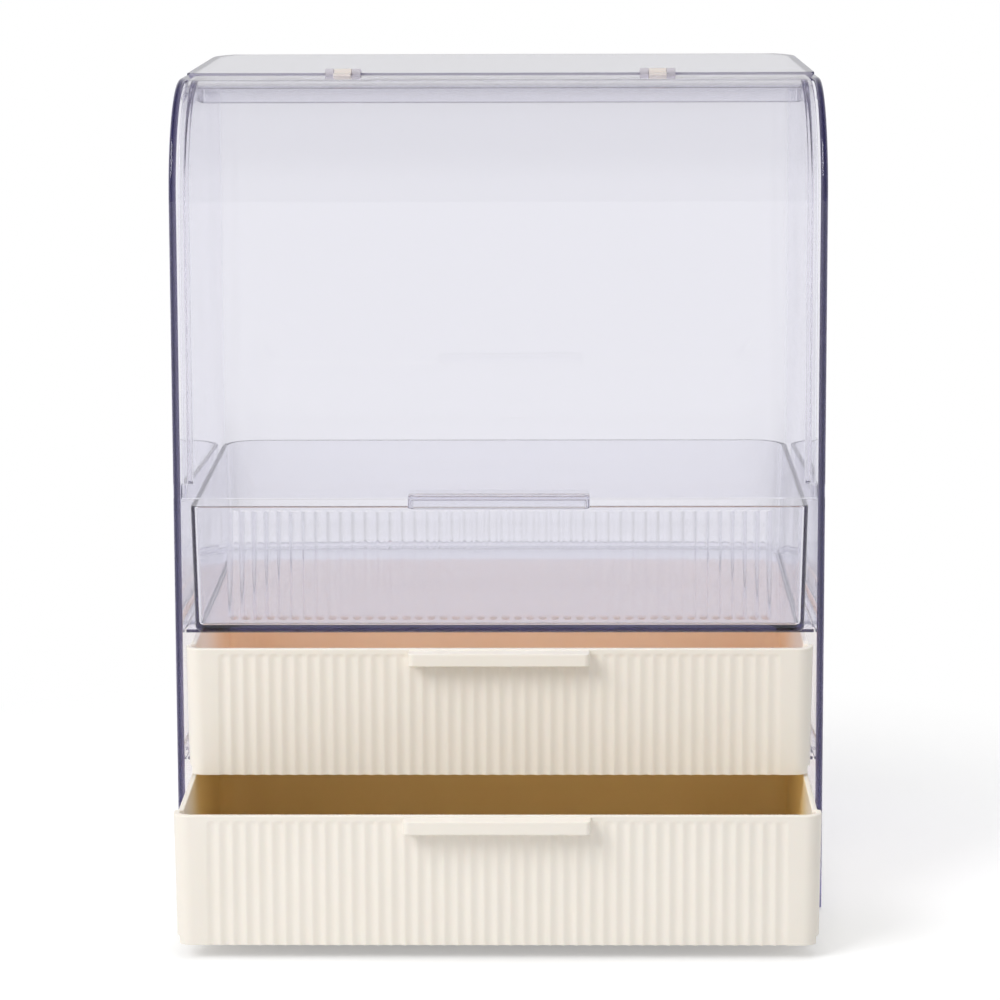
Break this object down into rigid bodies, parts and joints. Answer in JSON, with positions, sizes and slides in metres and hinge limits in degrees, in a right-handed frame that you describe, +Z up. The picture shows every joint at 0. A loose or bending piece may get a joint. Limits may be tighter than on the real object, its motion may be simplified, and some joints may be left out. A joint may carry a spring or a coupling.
{
  "type": "dustproof makeup organizer",
  "caption": "Clear standing cosmetics case with a curved flip-up door over a fluted pull-out tray and fluted cream drawers with bar pulls.",
  "frame": {"origin": "on the floor, under the middle of the whole object with its drawers as pictured", "axes": "+X to the right seen from the front, +Y to the back, +Z up"},
  "size_m": [0.27, 0.31, 0.3475],
  "materials": {
    "clear_plastic": "clear moulded plastic with a faint violet tint, polished",
    "cream_plastic": "warm cream moulded plastic, satin",
    "pin_steel": "drawn steel wire",
    "soft_foot": "soft clear-white elastomer"
  },
  "bodies": {
    "case": {"case_shell": "clear_plastic", "tray_shelf": "clear_plastic", "drawer_shelf": "clear_plastic", "hinge_bracket_left": "clear_plastic", "hinge_bracket_right": "clear_plastic", "hinge_pin_left": "pin_steel", "hinge_pin_right": "pin_steel", "foot_front_left": "soft_foot", "foot_front_right": "soft_foot", "foot_rear_left": "soft_foot", "foot_rear_right": "soft_foot"},
    "door_group": {"door": "clear_plastic", "door_pull": "clear_plastic", "hinge_barrel_left": "cream_plastic", "hinge_barrel_right": "cream_plastic"},
    "tray_group": {"tray": "clear_plastic"},
    "upper_drawer_group": {"upper_drawer": "cream_plastic", "upper_drawer_pull": "cream_plastic"},
    "lower_drawer_group": {"lower_drawer": "cream_plastic", "lower_drawer_pull": "cream_plastic"}
  },
  "joints": [
    {"name": "door_hinge", "type": "hinge", "parent": "case", "child": "door_group", "pos_m": [0, 0.0092, 0.3452], "axis": [-1, 0, 0], "range_deg": [0, 105]},
    {"name": "tray_slide", "type": "slide", "parent": "case", "child": "tray_group", "axis": [0, -1, 0], "range_m": [0, 0.14]},
    {"name": "upper_drawer_slide", "type": "slide", "parent": "case", "child": "upper_drawer_group", "axis": [0, -1, 0], "range_m": [-0.01, 0.14]},
    {"name": "lower_drawer_slide", "type": "slide", "parent": "case", "child": "lower_drawer_group", "axis": [0, -1, 0], "range_m": [-0.077, 0.073]}
  ]
}
